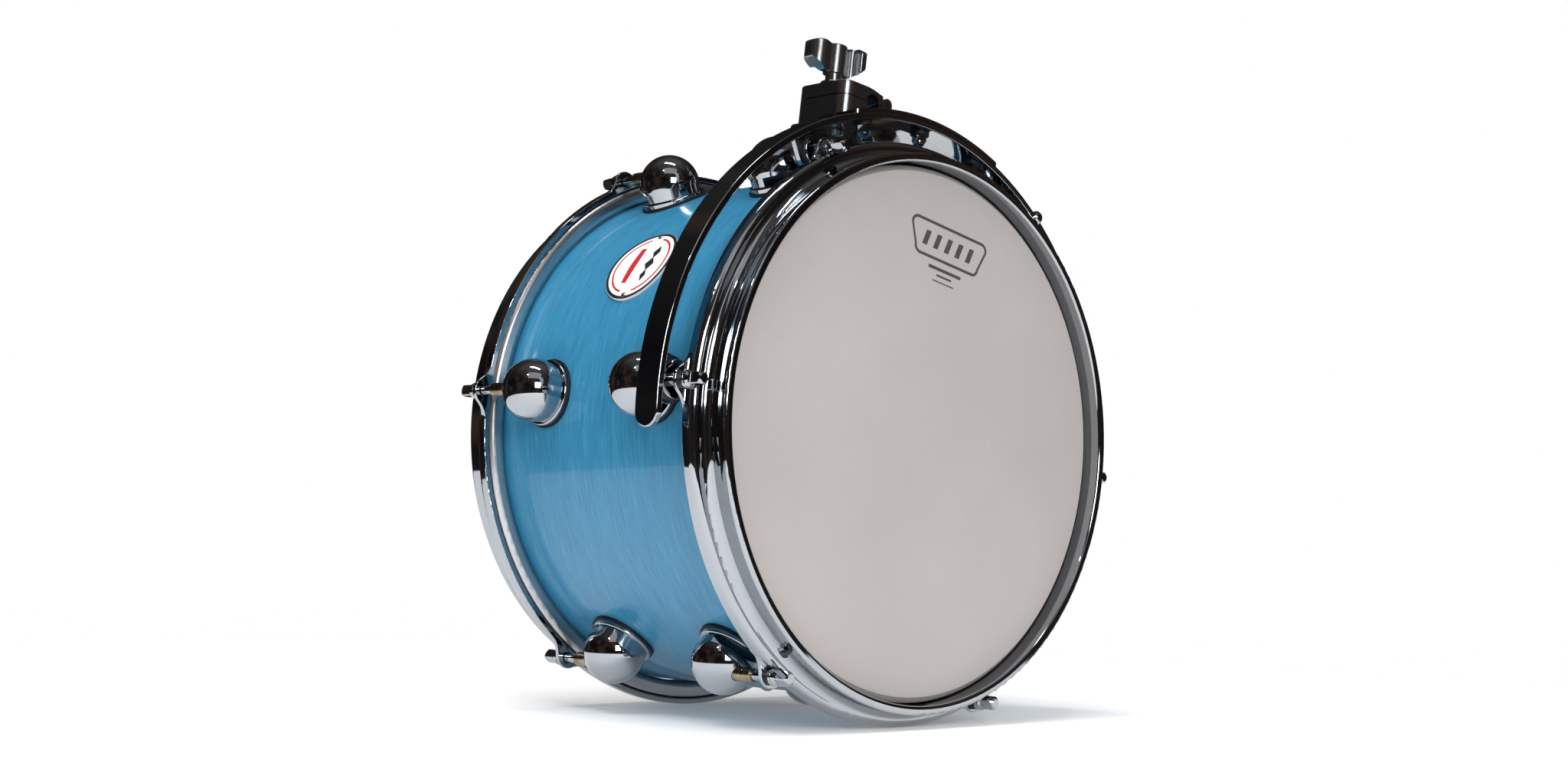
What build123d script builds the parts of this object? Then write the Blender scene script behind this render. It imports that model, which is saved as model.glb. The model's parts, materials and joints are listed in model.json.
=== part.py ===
from build123d import *
import math
import os

# A 12 x 8 inch rack tom with a suspension mount, lying on its side.
# Millimetres. The drum's axis runs along Y, the batter head faces -Y and Z is up.
# The origin is on the floor, below the middle of the drum.
# A clock angle turns about the drum's axis: 0 is up and 90 points along +X.
# Shapes are first made at clock 0, where X is tangential and Z is radial, around
# an axis through the origin. save() lifts them on to the floor.

# ---- shell and heads ----
SHELL_R = 151.0
SHELL_WALL = 6.0
SHELL_HALF = 101.6
EDGE_PEAK_R = SHELL_R - 2.8
FILM = 0.3
FLESH_IN_R = SHELL_R + 0.5
FILM_SKIRT_END = 88.0
FLESH_OUT_R = 162.0
FLESH_TOP = 92.1
FLESH_BOTTOM = 84.5

# ---- hoops ----
RIM_IN_R = 152.4
RIM_OUT_R = 158.2
RIM_TOP = 111.3
WALL_FOOT_R = 155.2
SHOULDER_TOP = 94.5
HOOP_OUT_R = 165.8
HOOP_IN_R = FLESH_OUT_R + 0.4
HOOP_EDGE = 86.0
HOOP_CORNER_R = 4.0
WALL_FOOT_CORNER_R = 5.0
EAR_T = 2.3
EAR_TOP = HOOP_EDGE + EAR_T
EAR_CENTRE_R = 165.6
EAR_R = 8.5
EAR_BLEND_R = 16.0
EAR_ROOT_R = HOOP_OUT_R - 0.4
EAR_SWELL_R = 3.0
EAR_HOLE_R = 3.3
EAR_SEAT_R = 5.2

# ---- tension rods ----
RODS_PER_SIDE = 6
ROD_CIRCLE_R = 168.0
ROD_R = 2.75
ROD_END = 49.0
NYLON_R = 4.7
NYLON_TOP = EAR_TOP + 2.5
STEEL_R = 4.9
STEEL_TOP = NYLON_TOP + 1.6
WASHER_HOLE_R = 3.05
COLLAR_R = 4.6
COLLAR_TOP = STEEL_TOP + 2.6
KEY_SQUARE = 6.3
KEY_TOP = 104.2

# ---- lugs ----
LUG_Y = 47.0
LUG_DOME_R = 18.0
LUG_CENTRE_R = 161.5
LUG_SKIRT_R = 17.3
LUG_SKIRT_TOP_R = 159.8
LUG_SKIRT_REACH = 3.0
LUG_FOOT_R = 19.0
LUG_FOOT_T = 1.8
LUG_WALL = 2.2
GASKET_R = 19.8
GASKET_T = 1.8
LUG_BASE_R = SHELL_R + GASKET_T
NUT_R = 4.0
NUT_LENGTH = 31.0
NUT_OUT = 75.8
NUT_OUT_AT_TAB = 70.8
NUT_POCKET_END = 39.3
NUT_BORE_R = ROD_R + 0.06
LUG_SCREW_R = 2.5
LUG_SCREW_HOLE_R = 2.8
LUG_WASHER_R = 7.5
LUG_WASHER_T = 1.4
LUG_SCREW_Y = -LUG_Y + 3.0

# ---- suspension band ----
BAND_IN_R = 179.4
BAND_OUT_R = 183.4
BAND_FRONT = -86.5
BAND_BACK = -69.0
BAND_HALF_ANGLE = 98.5
BAND_Y = (BAND_FRONT + BAND_BACK) / 2
TAB_FRONT = -78.5
TAB_BACK = -75.5
TAB_R = 12.5
TAB_ANGLES = (-90, -30, 30, 90)
GROMMET_R = 11.0
GROMMET_GROOVE_R = 8.0
GROMMET_FRONT = -81.5
GROMMET_BACK = -72.5
GROMMET_WASHER_R = 10.4
GROMMET_WASHER_T = 1.3
SLEEVE_R = 4.4
SLEEVE_BORE_R = 3.1

# ---- plate and rod clamp ----
PLATE_T = 2.0
PLATE_OUT_R = BAND_OUT_R + PLATE_T
PLATE_FRONT_HALF = 62.0
PLATE_REAR_HALF = 24.0
PLATE_REAR = 14.0
PLATE_SCREW_ANGLES = (-15.5, 0, 15.5)
CLAMP_Y = -10.0
CLAMP_HALF_LENGTH = 20.0
CLAMP_LEFT = -18.0
CLAMP_RIGHT = 15.0
CLAMP_PAD_T = 1.0
CLAMP_FOOT_R = PLATE_OUT_R + CLAMP_PAD_T
CLAMP_FOOT_TOP_R = CLAMP_FOOT_R + 3.2
CLAMP_SPLIT_R = 205.5
CLAMP_GAP = 0.6
CLAMP_TOP_R = 214.5
CLAMP_BORE_X = 6.5
CLAMP_BORE_R = 5.25
HINGE_X = 19.5
HINGE_R = 207.5
HINGE_KNUCKLE_R = 4.0
HINGE_PIN_R = 1.6
STUD_X = -9.5
STUD_R = 3.5
STUD_TOP_R = 238.0
CLAMP_WASHER_R = 7.5
CLAMP_WASHER_T = 1.5
WING_BASE_R = CLAMP_TOP_R + CLAMP_WASHER_T
WING_NECK_R = 5.0
WING_NECK_TOP_R = 221.5
WING_HUB_R = 6.8
WING_HUB_TOP_R = 239.5
WING_TIP_TOP_R = 240.5
WING_HALF_SPAN = 18.0
WING_CURL = 10.0
WING_T = 5.6

# ---- badge ----
BADGE_R = 25.0
BADGE_T = 1.4
BADGE_Y = 2.5

# The drum rests on its two hoops, below its axis, and on one row of lugs.
REST_ANGLE = math.degrees(math.acos((HOOP_OUT_R - LUG_DOME_R) / LUG_CENTRE_R))
ROD_PITCH = 360 / RODS_PER_SIDE
MOUNT_CLOCK = ROD_PITCH / 2 - REST_ANGLE
ROD_CLOCKS = [MOUNT_CLOCK + ROD_PITCH * (i + 0.5) for i in range(RODS_PER_SIDE)]
BADGE_CLOCK = MOUNT_CLOCK - ROD_PITCH
AXIS_HEIGHT = HOOP_OUT_R
SIDES = {"batter": -1, "resonant": 1}


# ---- helpers ----
def turned(shape, clock):
    """The shape, turned from clock 0 about the drum's axis."""
    return Rot(0, clock, 0) * shape


def ring(points, radii):
    """A full ring from a closed outline of (radius, y) points with rounded corners."""
    outline = FilletPolyline(*points, radius=radii, close=True)
    return revolve(make_face(outline), Axis.Y, 360)


def drum_cylinder(radius):
    """A solid cylinder along the drum's axis, longer than the drum."""
    return Rot(90, 0, 0) * Cylinder(radius, 4 * SHELL_HALF)


def rod_cylinder(radius, y0, y1, x=0.0, z=ROD_CIRCLE_R):
    """A cylinder along Y between y0 and y1."""
    return Pos(x, (y0 + y1) / 2, z) * Rot(90, 0, 0) * Cylinder(radius, abs(y1 - y0))


def post(radius, z0, z1, x=0.0, y=0.0):
    """A cylinder along Z between z0 and z1."""
    return Pos(x, y, (z0 + z1) / 2) * Cylinder(radius, z1 - z0)


def block(x0, x1, y0, y1, z0, z1):
    """A box between opposite corners."""
    centre = Pos((x0 + x1) / 2, (y0 + y1) / 2, (z0 + z1) / 2)
    return centre * Box(x1 - x0, y1 - y0, z1 - z0)


def save(name, shapes):
    """Write one node. shapes is one solid or a list of separate ones."""
    pieces = shapes if isinstance(shapes, list) else [shapes]
    solids = [solid for piece in pieces for solid in piece.solids()]
    whole = solids[0] if len(solids) == 1 else Compound(children=solids)
    export_step(Pos(0, 0, AXIS_HEIGHT) * whole, f"parts/{name}.step")


def on_both_sides(batter_piece):
    """Copies of a batter-side piece made at clock 0, at every rod of both sides."""
    other = mirror(batter_piece, about=Plane.XZ)
    pieces = [turned(batter_piece, clock) for clock in ROD_CLOCKS]
    return pieces + [turned(other, clock) for clock in ROD_CLOCKS]


# ---- shell and heads ----
def make_shell():
    inner = SHELL_R - SHELL_WALL
    outline = Polyline(
        (SHELL_R, -SHELL_HALF + 2.8),
        (SHELL_R, SHELL_HALF - 2.8),
        (EDGE_PEAK_R, SHELL_HALF),
        (EDGE_PEAK_R - 0.5, SHELL_HALF),
        (inner, SHELL_HALF - 2.7),
        (inner, -SHELL_HALF + 2.7),
        (EDGE_PEAK_R - 0.5, -SHELL_HALF),
        (EDGE_PEAK_R, -SHELL_HALF),
        close=True,
    )
    shell = revolve(make_face(outline), Axis.Y, 360)
    hole = post(LUG_SCREW_HOLE_R, inner - 2, SHELL_R + 2, y=LUG_SCREW_Y)
    return shell - on_both_sides(hole)


def make_head(side):
    """The film: flat over the bearing edge, then down between shell and flesh hoop."""
    outer = FLESH_IN_R
    inner = outer - FILM
    points = [
        (0, SHELL_HALF),
        (EDGE_PEAK_R + 0.1, SHELL_HALF),
        (inner, SHELL_HALF - 2.9),
        (inner, FILM_SKIRT_END),
        (outer, FILM_SKIRT_END),
        (outer, SHELL_HALF - 2.8),
        (EDGE_PEAK_R + 0.2, SHELL_HALF + FILM),
        (0, SHELL_HALF + FILM),
    ]
    outline = Polyline(*[(r, side * y) for r, y in points], close=True)
    return revolve(make_face(outline), Axis.Y, 360)


def make_flesh_hoop(side):
    """The aluminium ring that holds the film, round where it shows below the hoop."""
    points = [
        (FLESH_IN_R, FLESH_BOTTOM),
        (FLESH_OUT_R, FLESH_BOTTOM),
        (FLESH_OUT_R, FLESH_TOP),
        (FLESH_IN_R, FLESH_TOP),
    ]
    return ring([(r, side * y) for r, y in points], [4.2, 3.6, 0.8, 0.8])


# ---- hoops ----
def ear_outline():
    """The ear's edge and the hollow blends that lead it into the hoop's outside."""
    blend_from_axis = EAR_ROOT_R + EAR_BLEND_R
    blend_from_ear = EAR_R + EAR_BLEND_R
    cosine = (blend_from_axis**2 + EAR_CENTRE_R**2 - blend_from_ear**2) / (
        2 * blend_from_axis * EAR_CENTRE_R
    )
    angle = math.acos(cosine)
    centre = Vector(blend_from_axis * math.sin(angle), blend_from_axis * math.cos(angle))
    middle = Vector(0, EAR_CENTRE_R)
    on_hoop = centre * (EAR_ROOT_R / blend_from_axis)
    on_ear = middle + (centre - middle) * (EAR_R / blend_from_ear)
    towards = (on_hoop + on_ear) * 0.5 - centre
    on_blend = centre + towards.normalized() * EAR_BLEND_R
    flip = [Vector(-p.X, p.Y) for p in (on_hoop, on_blend, on_ear)]
    root = Vector(on_hoop.X, HOOP_IN_R + 0.8)
    return [
        Line(root, on_hoop),
        ThreePointArc(on_hoop, on_blend, on_ear),
        ThreePointArc(on_ear, Vector(0, EAR_CENTRE_R + EAR_R), flip[2]),
        ThreePointArc(flip[2], flip[1], flip[0]),
        Line(flip[0], Vector(-root.X, root.Y)),
        Line(Vector(-root.X, root.Y), root),
    ]


def make_ear():
    """A flat ear that swells up in a hollow curve to meet the hoop's outside."""
    height = EAR_T + EAR_SWELL_R
    blank = extrude(Plane.XZ * make_face(ear_outline()), height)
    blank = Pos(0, HOOP_EDGE - blank.bounding_box().min.Y, 0) * blank
    inner, outer = HOOP_IN_R - 4, HOOP_OUT_R + 3 * EAR_R
    hollow = EAR_SWELL_R * (1 - math.sqrt(0.5))
    section = [
        Line((inner, HOOP_EDGE), (outer, HOOP_EDGE)),
        Line((outer, HOOP_EDGE), (outer, EAR_TOP)),
        Line((outer, EAR_TOP), (EAR_ROOT_R + EAR_SWELL_R, EAR_TOP)),
        ThreePointArc(
            (EAR_ROOT_R + EAR_SWELL_R, EAR_TOP),
            (EAR_ROOT_R + hollow, EAR_TOP + hollow),
            (EAR_ROOT_R, EAR_TOP + EAR_SWELL_R),
        ),
        Line((EAR_ROOT_R, EAR_TOP + EAR_SWELL_R), (inner, EAR_TOP + EAR_SWELL_R)),
        Line((inner, EAR_TOP + EAR_SWELL_R), (inner, HOOP_EDGE)),
    ]
    ear = blank & revolve(make_face(section), Axis.Y, 360)
    outside = [e for e in ear.edges() if e.center().Z > HOOP_OUT_R]
    flat_edges = [e for e in outside if e.bounding_box().size.Y < 0.01]
    return fillet(flat_edges, 0.7)


def make_hoop():
    """The resonant hoop: a skirt round the flesh hoop, a shoulder on it and a wall to the rim."""
    points = [
        (RIM_IN_R, FLESH_TOP),
        (HOOP_IN_R, FLESH_TOP),
        (HOOP_IN_R, HOOP_EDGE),
        (HOOP_OUT_R, HOOP_EDGE),
        (HOOP_OUT_R, SHOULDER_TOP),
        (WALL_FOOT_R, SHOULDER_TOP),
        (RIM_OUT_R, RIM_TOP),
        (RIM_IN_R, RIM_TOP),
    ]
    hoop = ring(points, [0.8, 0.6, 0.7, 0.7, HOOP_CORNER_R, WALL_FOOT_CORNER_R, 1.7, 2.0])
    ear = make_ear()
    hole = rod_cylinder(EAR_HOLE_R, HOOP_EDGE - 1, EAR_TOP + 1)
    seat = rod_cylinder(EAR_SEAT_R, EAR_TOP, SHOULDER_TOP + 1)
    for clock in ROD_CLOCKS:
        hoop += turned(ear, clock)
    for clock in ROD_CLOCKS:
        hoop -= turned(hole + seat, clock)
    return hoop


# ---- tension rods and their washers, for the batter side ----
def make_rod():
    shaft = rod_cylinder(ROD_R, -STEEL_TOP, -ROD_END)
    shaft = chamfer(shaft.edges().sort_by(Axis.Y)[-1], 0.8)
    collar = rod_cylinder(COLLAR_R, -COLLAR_TOP, -STEEL_TOP)
    collar = chamfer(collar.edges().sort_by(Axis.Y)[0], 1.2)
    half = KEY_SQUARE / 2
    key = block(-half, half, -KEY_TOP, -COLLAR_TOP, ROD_CIRCLE_R - half, ROD_CIRCLE_R + half)
    key = fillet(key.edges().filter_by(Axis.Y), 0.6)
    tip = rod_cylinder(half * 1.28, -KEY_TOP, -COLLAR_TOP)
    tip = chamfer(tip.edges().sort_by(Axis.Y)[0], 1.6)
    return shaft + collar + (key & tip)


def make_nylon_washer():
    washer = rod_cylinder(NYLON_R, -NYLON_TOP, -EAR_TOP)
    return washer - rod_cylinder(WASHER_HOLE_R, -NYLON_TOP - 1, -EAR_TOP + 1)


def make_steel_washer():
    washer = rod_cylinder(STEEL_R, -STEEL_TOP, -NYLON_TOP)
    washer = fillet(washer.edges().filter_by(GeomType.CIRCLE), 0.3)
    return washer - rod_cylinder(WASHER_HOLE_R, -STEEL_TOP - 1, -NYLON_TOP + 1)


# ---- lugs, for the batter side ----
def make_lug():
    """A hollow cast dome that overhangs its skirt towards the rod.

    Inside are a boss that carries the swivel nut and a boss for the lug's screw."""
    foot_top = LUG_BASE_R + LUG_FOOT_T
    skirt_front = -LUG_Y - LUG_SKIRT_REACH
    beyond = LUG_Y + LUG_DOME_R + 5
    foot = post(LUG_FOOT_R, SHELL_R - 3, foot_top, y=-LUG_Y)
    foot = fillet(foot.edges().sort_by(Axis.Z)[-1], 1.0)
    skirt = post(LUG_SKIRT_R, SHELL_R - 3, LUG_SKIRT_TOP_R + 1, y=-LUG_Y)
    skirt -= block(-LUG_DOME_R, LUG_DOME_R, -beyond, skirt_front, SHELL_R - 5, LUG_SKIRT_TOP_R)
    collar = post(LUG_DOME_R, LUG_SKIRT_TOP_R, LUG_CENTRE_R, y=-LUG_Y)
    upper = post(LUG_DOME_R + 1, LUG_CENTRE_R, LUG_CENTRE_R + LUG_DOME_R + 1, y=-LUG_Y)
    dome = (Pos(0, -LUG_Y, LUG_CENTRE_R) * Sphere(LUG_DOME_R)) & upper
    room = post(LUG_SKIRT_R - LUG_WALL, SHELL_R - 5, LUG_CENTRE_R + 1, y=-LUG_Y)
    room -= block(-LUG_DOME_R, LUG_DOME_R, -beyond, skirt_front + LUG_WALL,
                  SHELL_R - 6, LUG_CENTRE_R + 2)
    vault = (Pos(0, -LUG_Y, LUG_CENTRE_R) * Sphere(LUG_DOME_R - LUG_WALL)) & upper
    nut_boss = rod_cylinder(NUT_R + 2.2, -LUG_Y - LUG_DOME_R, -NUT_POCKET_END + 2)
    nut_boss = nut_boss & (Pos(0, -LUG_Y, LUG_CENTRE_R) * Sphere(LUG_DOME_R - 0.5))
    screw_boss = post(LUG_SCREW_R + 2.4, SHELL_R - 3, ROD_CIRCLE_R - NUT_R, y=LUG_SCREW_Y)
    lug = foot + skirt + collar + dome - (room + vault) + nut_boss + screw_boss
    lug -= drum_cylinder(LUG_BASE_R)
    lug -= rod_cylinder(NUT_R + 0.1, -LUG_Y - LUG_DOME_R - 2, -NUT_POCKET_END)
    lug -= post(LUG_SCREW_R, SHELL_R - 5, LUG_CENTRE_R, y=LUG_SCREW_Y)
    return lug


def make_lug_gasket():
    disc = post(GASKET_R, SHELL_R - 4, SHELL_R + 4, y=-LUG_Y)
    disc -= post(LUG_SCREW_HOLE_R, SHELL_R - 5, SHELL_R + 5, y=LUG_SCREW_Y)
    return (disc & drum_cylinder(LUG_BASE_R)) - drum_cylinder(SHELL_R)


def make_swivel_nut(out):
    nut = rod_cylinder(NUT_R, -out, NUT_LENGTH - out)
    nut = chamfer(nut.edges().sort_by(Axis.Y)[0], 0.6)
    return nut - rod_cylinder(NUT_BORE_R, -out - 1, NUT_LENGTH - out + 1)


def make_swivel_nuts():
    """Nuts at the band's tabs sit deeper in their lugs, clear of the grommets."""
    free = make_swivel_nut(NUT_OUT)
    deep = make_swivel_nut(NUT_OUT_AT_TAB)
    at_tab = [(clock - MOUNT_CLOCK + 180) % 360 - 180 for clock in ROD_CLOCKS]
    tabbed = [any(abs(a - tab) < 1 for tab in TAB_ANGLES) for a in at_tab]
    batter = [turned(deep if t else free, c) for t, c in zip(tabbed, ROD_CLOCKS)]
    resonant = [turned(mirror(free, about=Plane.XZ), clock) for clock in ROD_CLOCKS]
    return batter + resonant


def make_lug_screw():
    seat = SHELL_R - SHELL_WALL - LUG_WASHER_T
    shank = post(LUG_SCREW_R, seat - 1, LUG_CENTRE_R - 1.5, y=LUG_SCREW_Y)
    head = post(4.6, seat - 3.4, seat, y=LUG_SCREW_Y)
    head = fillet(head.edges().sort_by(Axis.Z)[0], 1.4)
    cross = block(-2.6, 2.6, LUG_SCREW_Y - 0.5, LUG_SCREW_Y + 0.5, seat - 4, seat - 2)
    cross += block(-0.5, 0.5, LUG_SCREW_Y - 2.6, LUG_SCREW_Y + 2.6, seat - 4, seat - 2)
    return shank + head - cross


def make_lug_screw_washer():
    inner = SHELL_R - SHELL_WALL
    disc = post(LUG_WASHER_R, inner - LUG_WASHER_T, inner + 2, y=LUG_SCREW_Y)
    disc -= post(LUG_SCREW_HOLE_R, inner - 4, inner + 4, y=LUG_SCREW_Y)
    return disc & drum_cylinder(inner)


# ---- suspension band ----
def make_band():
    """A flat bar round the upper half of the drum, with a tab at each of four rods."""
    width = BAND_BACK - BAND_FRONT
    section = Pos((BAND_IN_R + BAND_OUT_R) / 2, BAND_Y) * Rectangle(BAND_OUT_R - BAND_IN_R, width)
    band = revolve(section, Axis.Y, 2 * BAND_HALF_ANGLE)
    ends = [e for e in band.edges() if abs(e.length - (BAND_OUT_R - BAND_IN_R)) < 0.01]
    band = fillet(ends, width / 2 - 0.2)
    rims = [e for e in band.edges() if e.length > 2 * BAND_OUT_R]
    band = fillet(rims, 0.8)
    band = turned(band, -90 - BAND_HALF_ANGLE)
    tab = rod_cylinder(TAB_R, TAB_FRONT, TAB_BACK)
    tab += block(-TAB_R, TAB_R, TAB_FRONT, TAB_BACK, ROD_CIRCLE_R, BAND_IN_R + 1.5)
    tab -= rod_cylinder(GROMMET_GROOVE_R, TAB_FRONT - 1, TAB_BACK + 1)
    for angle in TAB_ANGLES:
        band += turned(tab, angle)
    for angle in PLATE_SCREW_ANGLES:
        band -= turned(post(2.05, BAND_IN_R - 5, BAND_OUT_R + 5, y=BAND_Y), angle)
    return turned(band, MOUNT_CLOCK)


def make_grommet():
    front = rod_cylinder(GROMMET_R, GROMMET_FRONT, TAB_FRONT)
    front = fillet(front.edges().sort_by(Axis.Y)[0], 1.2)
    back = rod_cylinder(GROMMET_R, TAB_BACK, GROMMET_BACK)
    back = fillet(back.edges().sort_by(Axis.Y)[-1], 1.2)
    neck = rod_cylinder(GROMMET_GROOVE_R, TAB_FRONT, TAB_BACK)
    bore = rod_cylinder(SLEEVE_R, GROMMET_FRONT - 1, GROMMET_BACK + 1)
    return front + neck + back - bore


def make_grommet_sleeve():
    """A tube through the grommet that holds the hoop's ear off the band."""
    back = GROMMET_BACK + GROMMET_WASHER_T
    tube = rod_cylinder(SLEEVE_R, -HOOP_EDGE, back)
    return tube - rod_cylinder(SLEEVE_BORE_R, -HOOP_EDGE - 1, back + 1)


def make_grommet_washer(y0):
    y1 = y0 + GROMMET_WASHER_T
    washer = rod_cylinder(GROMMET_WASHER_R, y0, y1)
    washer = fillet(washer.edges().filter_by(GeomType.CIRCLE), 0.35)
    return washer - rod_cylinder(SLEEVE_R, y0 - 1, y1 + 1)


# ---- plate between the band and the clamp ----
def make_plate():
    """A curved sheet, wide at the band and narrow under the clamp."""
    points = [
        (-PLATE_FRONT_HALF, BAND_FRONT),
        (PLATE_FRONT_HALF, BAND_FRONT),
        (PLATE_FRONT_HALF, BAND_BACK),
        (PLATE_REAR_HALF, PLATE_REAR),
        (-PLATE_REAR_HALF, PLATE_REAR),
        (-PLATE_FRONT_HALF, BAND_BACK),
    ]
    outline = FilletPolyline(*points, radius=[3, 3, 12, 9, 9, 12], close=True)
    prism = extrude(Pos(0, 0, BAND_IN_R - 30) * make_face(outline), 60)
    plate = (prism & drum_cylinder(PLATE_OUT_R)) - drum_cylinder(BAND_OUT_R)
    for angle in PLATE_SCREW_ANGLES:
        plate -= turned(make_plate_screw(), angle)
    for x, y in clamp_screw_places():
        plate -= post(2.05, BAND_IN_R, PLATE_OUT_R + 4, x=x, y=y)
    return plate


def make_plate_screw():
    """A countersunk screw, flush with the plate's outer face."""
    head_depth = 1.8
    top = PLATE_OUT_R - 0.1
    cone = Pos(0, BAND_Y, top - head_depth / 2) * Cone(2.05, 3.85, head_depth)
    return cone + post(2.05, BAND_IN_R - 8, top - head_depth, y=BAND_Y)


def make_plate_bushing():
    bushing = post(5.6, BAND_IN_R - 2.6, BAND_IN_R - 0.2, y=BAND_Y)
    return bushing - post(2.05, BAND_IN_R - 6, BAND_IN_R + 2, y=BAND_Y)


def make_plate_cap_nut():
    top = BAND_IN_R - 2.6
    hexagon = Pos(0, BAND_Y, top - 3.6) * extrude(RegularPolygon(4.4, 6), 3.6)
    dome = (Pos(0, BAND_Y, top - 3.6) * Sphere(3.7)) & post(5, top - 9, top - 3.6, y=BAND_Y)
    return hexagon + dome - post(2.05, BAND_IN_R - 8, top + 1, y=BAND_Y)


# ---- clamp for the tom arm's rod ----
def clamp_screw_places():
    return [(x, CLAMP_Y + y) for x in (-14.5, 11.5) for y in (-14, 14)]


def clamp_slab(left, right, half_length, z0, z1, corner):
    """An upright slab with rounded corners, the near left one the roundest."""
    width = right - left
    slab = block(left, right, CLAMP_Y - half_length, CLAMP_Y + half_length, z0, z1)
    uprights = slab.edges().filter_by(Axis.Z).sort_by(lambda e: e.center().X + e.center().Y)
    slab = fillet(uprights[:1], min(corner * 2, width / 2 - 1))
    uprights = slab.edges().filter_by(Axis.Z)
    far_left = [e for e in uprights if e.center().Y > CLAMP_Y + half_length - 1]
    return fillet([e for e in far_left if e.center().X < left + 1], corner)


def knuckle(y0, y1, radius):
    return rod_cylinder(radius, CLAMP_Y + y0, CLAMP_Y + y1, x=HINGE_X, z=HINGE_R)


def make_clamp_pad():
    pad = clamp_slab(CLAMP_LEFT - 4.4, CLAMP_RIGHT + 6.4, CLAMP_HALF_LENGTH + 3.4,
                     PLATE_OUT_R - 12, CLAMP_FOOT_R + 4, 4)
    pad = (pad & drum_cylinder(CLAMP_FOOT_R)) - drum_cylinder(PLATE_OUT_R)
    for x, y in clamp_screw_places():
        pad -= post(2.05, BAND_IN_R, CLAMP_FOOT_TOP_R, x=x, y=y)
    return pad


def make_clamp_base():
    half = CLAMP_HALF_LENGTH
    split = CLAMP_SPLIT_R - CLAMP_GAP / 2
    foot = clamp_slab(CLAMP_LEFT - 3.6, CLAMP_RIGHT + 5.6, half + 2.6,
                      PLATE_OUT_R - 12, CLAMP_FOOT_TOP_R, 4)
    foot = chamfer(foot.faces().sort_by(Axis.Z)[-1].edges(), 1.0)
    body = clamp_slab(CLAMP_LEFT, CLAMP_RIGHT, half, PLATE_OUT_R - 12, split, 4)
    for y0, y1 in ((-half, -half / 2), (half / 2, half)):
        ear = knuckle(y0, y1, HINGE_KNUCKLE_R)
        web = block(CLAMP_RIGHT - 4, HINGE_X + HINGE_KNUCKLE_R, CLAMP_Y + y0, CLAMP_Y + y1,
                    CLAMP_FOOT_R, split)
        neck = block(HINGE_X - HINGE_KNUCKLE_R, HINGE_X + HINGE_KNUCKLE_R,
                     CLAMP_Y + y0, CLAMP_Y + y1, split - 1, HINGE_R)
        body += ear + web + neck
    body -= knuckle(-half / 2, half / 2, HINGE_KNUCKLE_R + 0.4)
    base = body + foot - drum_cylinder(CLAMP_FOOT_R)
    base -= rod_cylinder(CLAMP_BORE_R, CLAMP_Y - half - 5, CLAMP_Y + half + 5,
                         x=CLAMP_BORE_X, z=CLAMP_SPLIT_R)
    base -= knuckle(-half - 1, half + 1, HINGE_PIN_R)
    base -= post(STUD_R, CLAMP_FOOT_R + 2, CLAMP_TOP_R, x=STUD_X, y=CLAMP_Y)
    for x, y in clamp_screw_places():
        base -= post(2.05, BAND_IN_R, CLAMP_FOOT_R + 5, x=x, y=y)
    return base


def make_clamp_cap():
    """The lid of the clamp, sloping down to its hinge."""
    half = CLAMP_HALF_LENGTH
    split = CLAMP_SPLIT_R + CLAMP_GAP / 2
    cap = clamp_slab(CLAMP_LEFT, HINGE_X, half, split, CLAMP_TOP_R, 4)
    slope = Polyline((3, CLAMP_TOP_R), (HINGE_X + 8, CLAMP_TOP_R - 5.5),
                     (HINGE_X + 8, CLAMP_TOP_R + 5), (3, CLAMP_TOP_R + 5), close=True)
    wedge = extrude(Plane.XZ * make_face(slope), 4 * half, both=True)
    cap -= wedge
    top_edges = cap.edges().group_by(Axis.Z)[-1]
    cap = chamfer([e for e in top_edges if e.center().X < 2.5], 0.8)
    cap += knuckle(-half / 2 + 0.3, half / 2 - 0.3, HINGE_KNUCKLE_R)
    end = HINGE_X - HINGE_KNUCKLE_R - 0.4
    for y0, y1 in ((-half - 1, -half / 2 + 0.3), (half / 2 - 0.3, half + 1)):
        cap -= block(end, HINGE_X + 10, CLAMP_Y + y0, CLAMP_Y + y1, split - 5, CLAMP_TOP_R + 2)
    cap -= rod_cylinder(CLAMP_BORE_R, CLAMP_Y - half - 5, CLAMP_Y + half + 5,
                        x=CLAMP_BORE_X, z=CLAMP_SPLIT_R)
    cap -= knuckle(-half, half, HINGE_PIN_R + 0.06)
    slot = post(STUD_R + 0.7, split - 1, CLAMP_TOP_R + 1, x=STUD_X - 1.0, y=CLAMP_Y)
    slot += post(STUD_R + 0.7, split - 1, CLAMP_TOP_R + 1, x=STUD_X + 1.4, y=CLAMP_Y)
    reach = STUD_R + 0.7
    slot += block(STUD_X - 1.0, STUD_X + 1.4, CLAMP_Y - reach, CLAMP_Y + reach,
                  split - 1, CLAMP_TOP_R + 1)
    return cap - slot


def make_hinge_pin():
    half = CLAMP_HALF_LENGTH
    return knuckle(-half, half, HINGE_PIN_R)


def make_clamp_screw(x, y):
    seat = math.sqrt(BAND_OUT_R**2 - (abs(x) + 3.6) ** 2)
    shank = post(2.0, seat - 1, CLAMP_FOOT_R + 4, x=x, y=y)
    head = post(3.6, seat - 2.6, seat, x=x, y=y)
    return shank + fillet(head.edges().sort_by(Axis.Z)[0], 1.0)


def make_stud():
    stud = post(STUD_R, CLAMP_FOOT_R + 2, STUD_TOP_R, x=STUD_X, y=CLAMP_Y)
    return chamfer(stud.edges().sort_by(Axis.Z)[-1], 0.8)


def make_clamp_washer():
    washer = post(CLAMP_WASHER_R, CLAMP_TOP_R, WING_BASE_R, x=STUD_X, y=CLAMP_Y)
    washer = fillet(washer.edges().filter_by(GeomType.CIRCLE), 0.35)
    return washer - post(STUD_R + 0.3, CLAMP_TOP_R - 1, WING_BASE_R + 1, x=STUD_X, y=CLAMP_Y)


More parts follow.
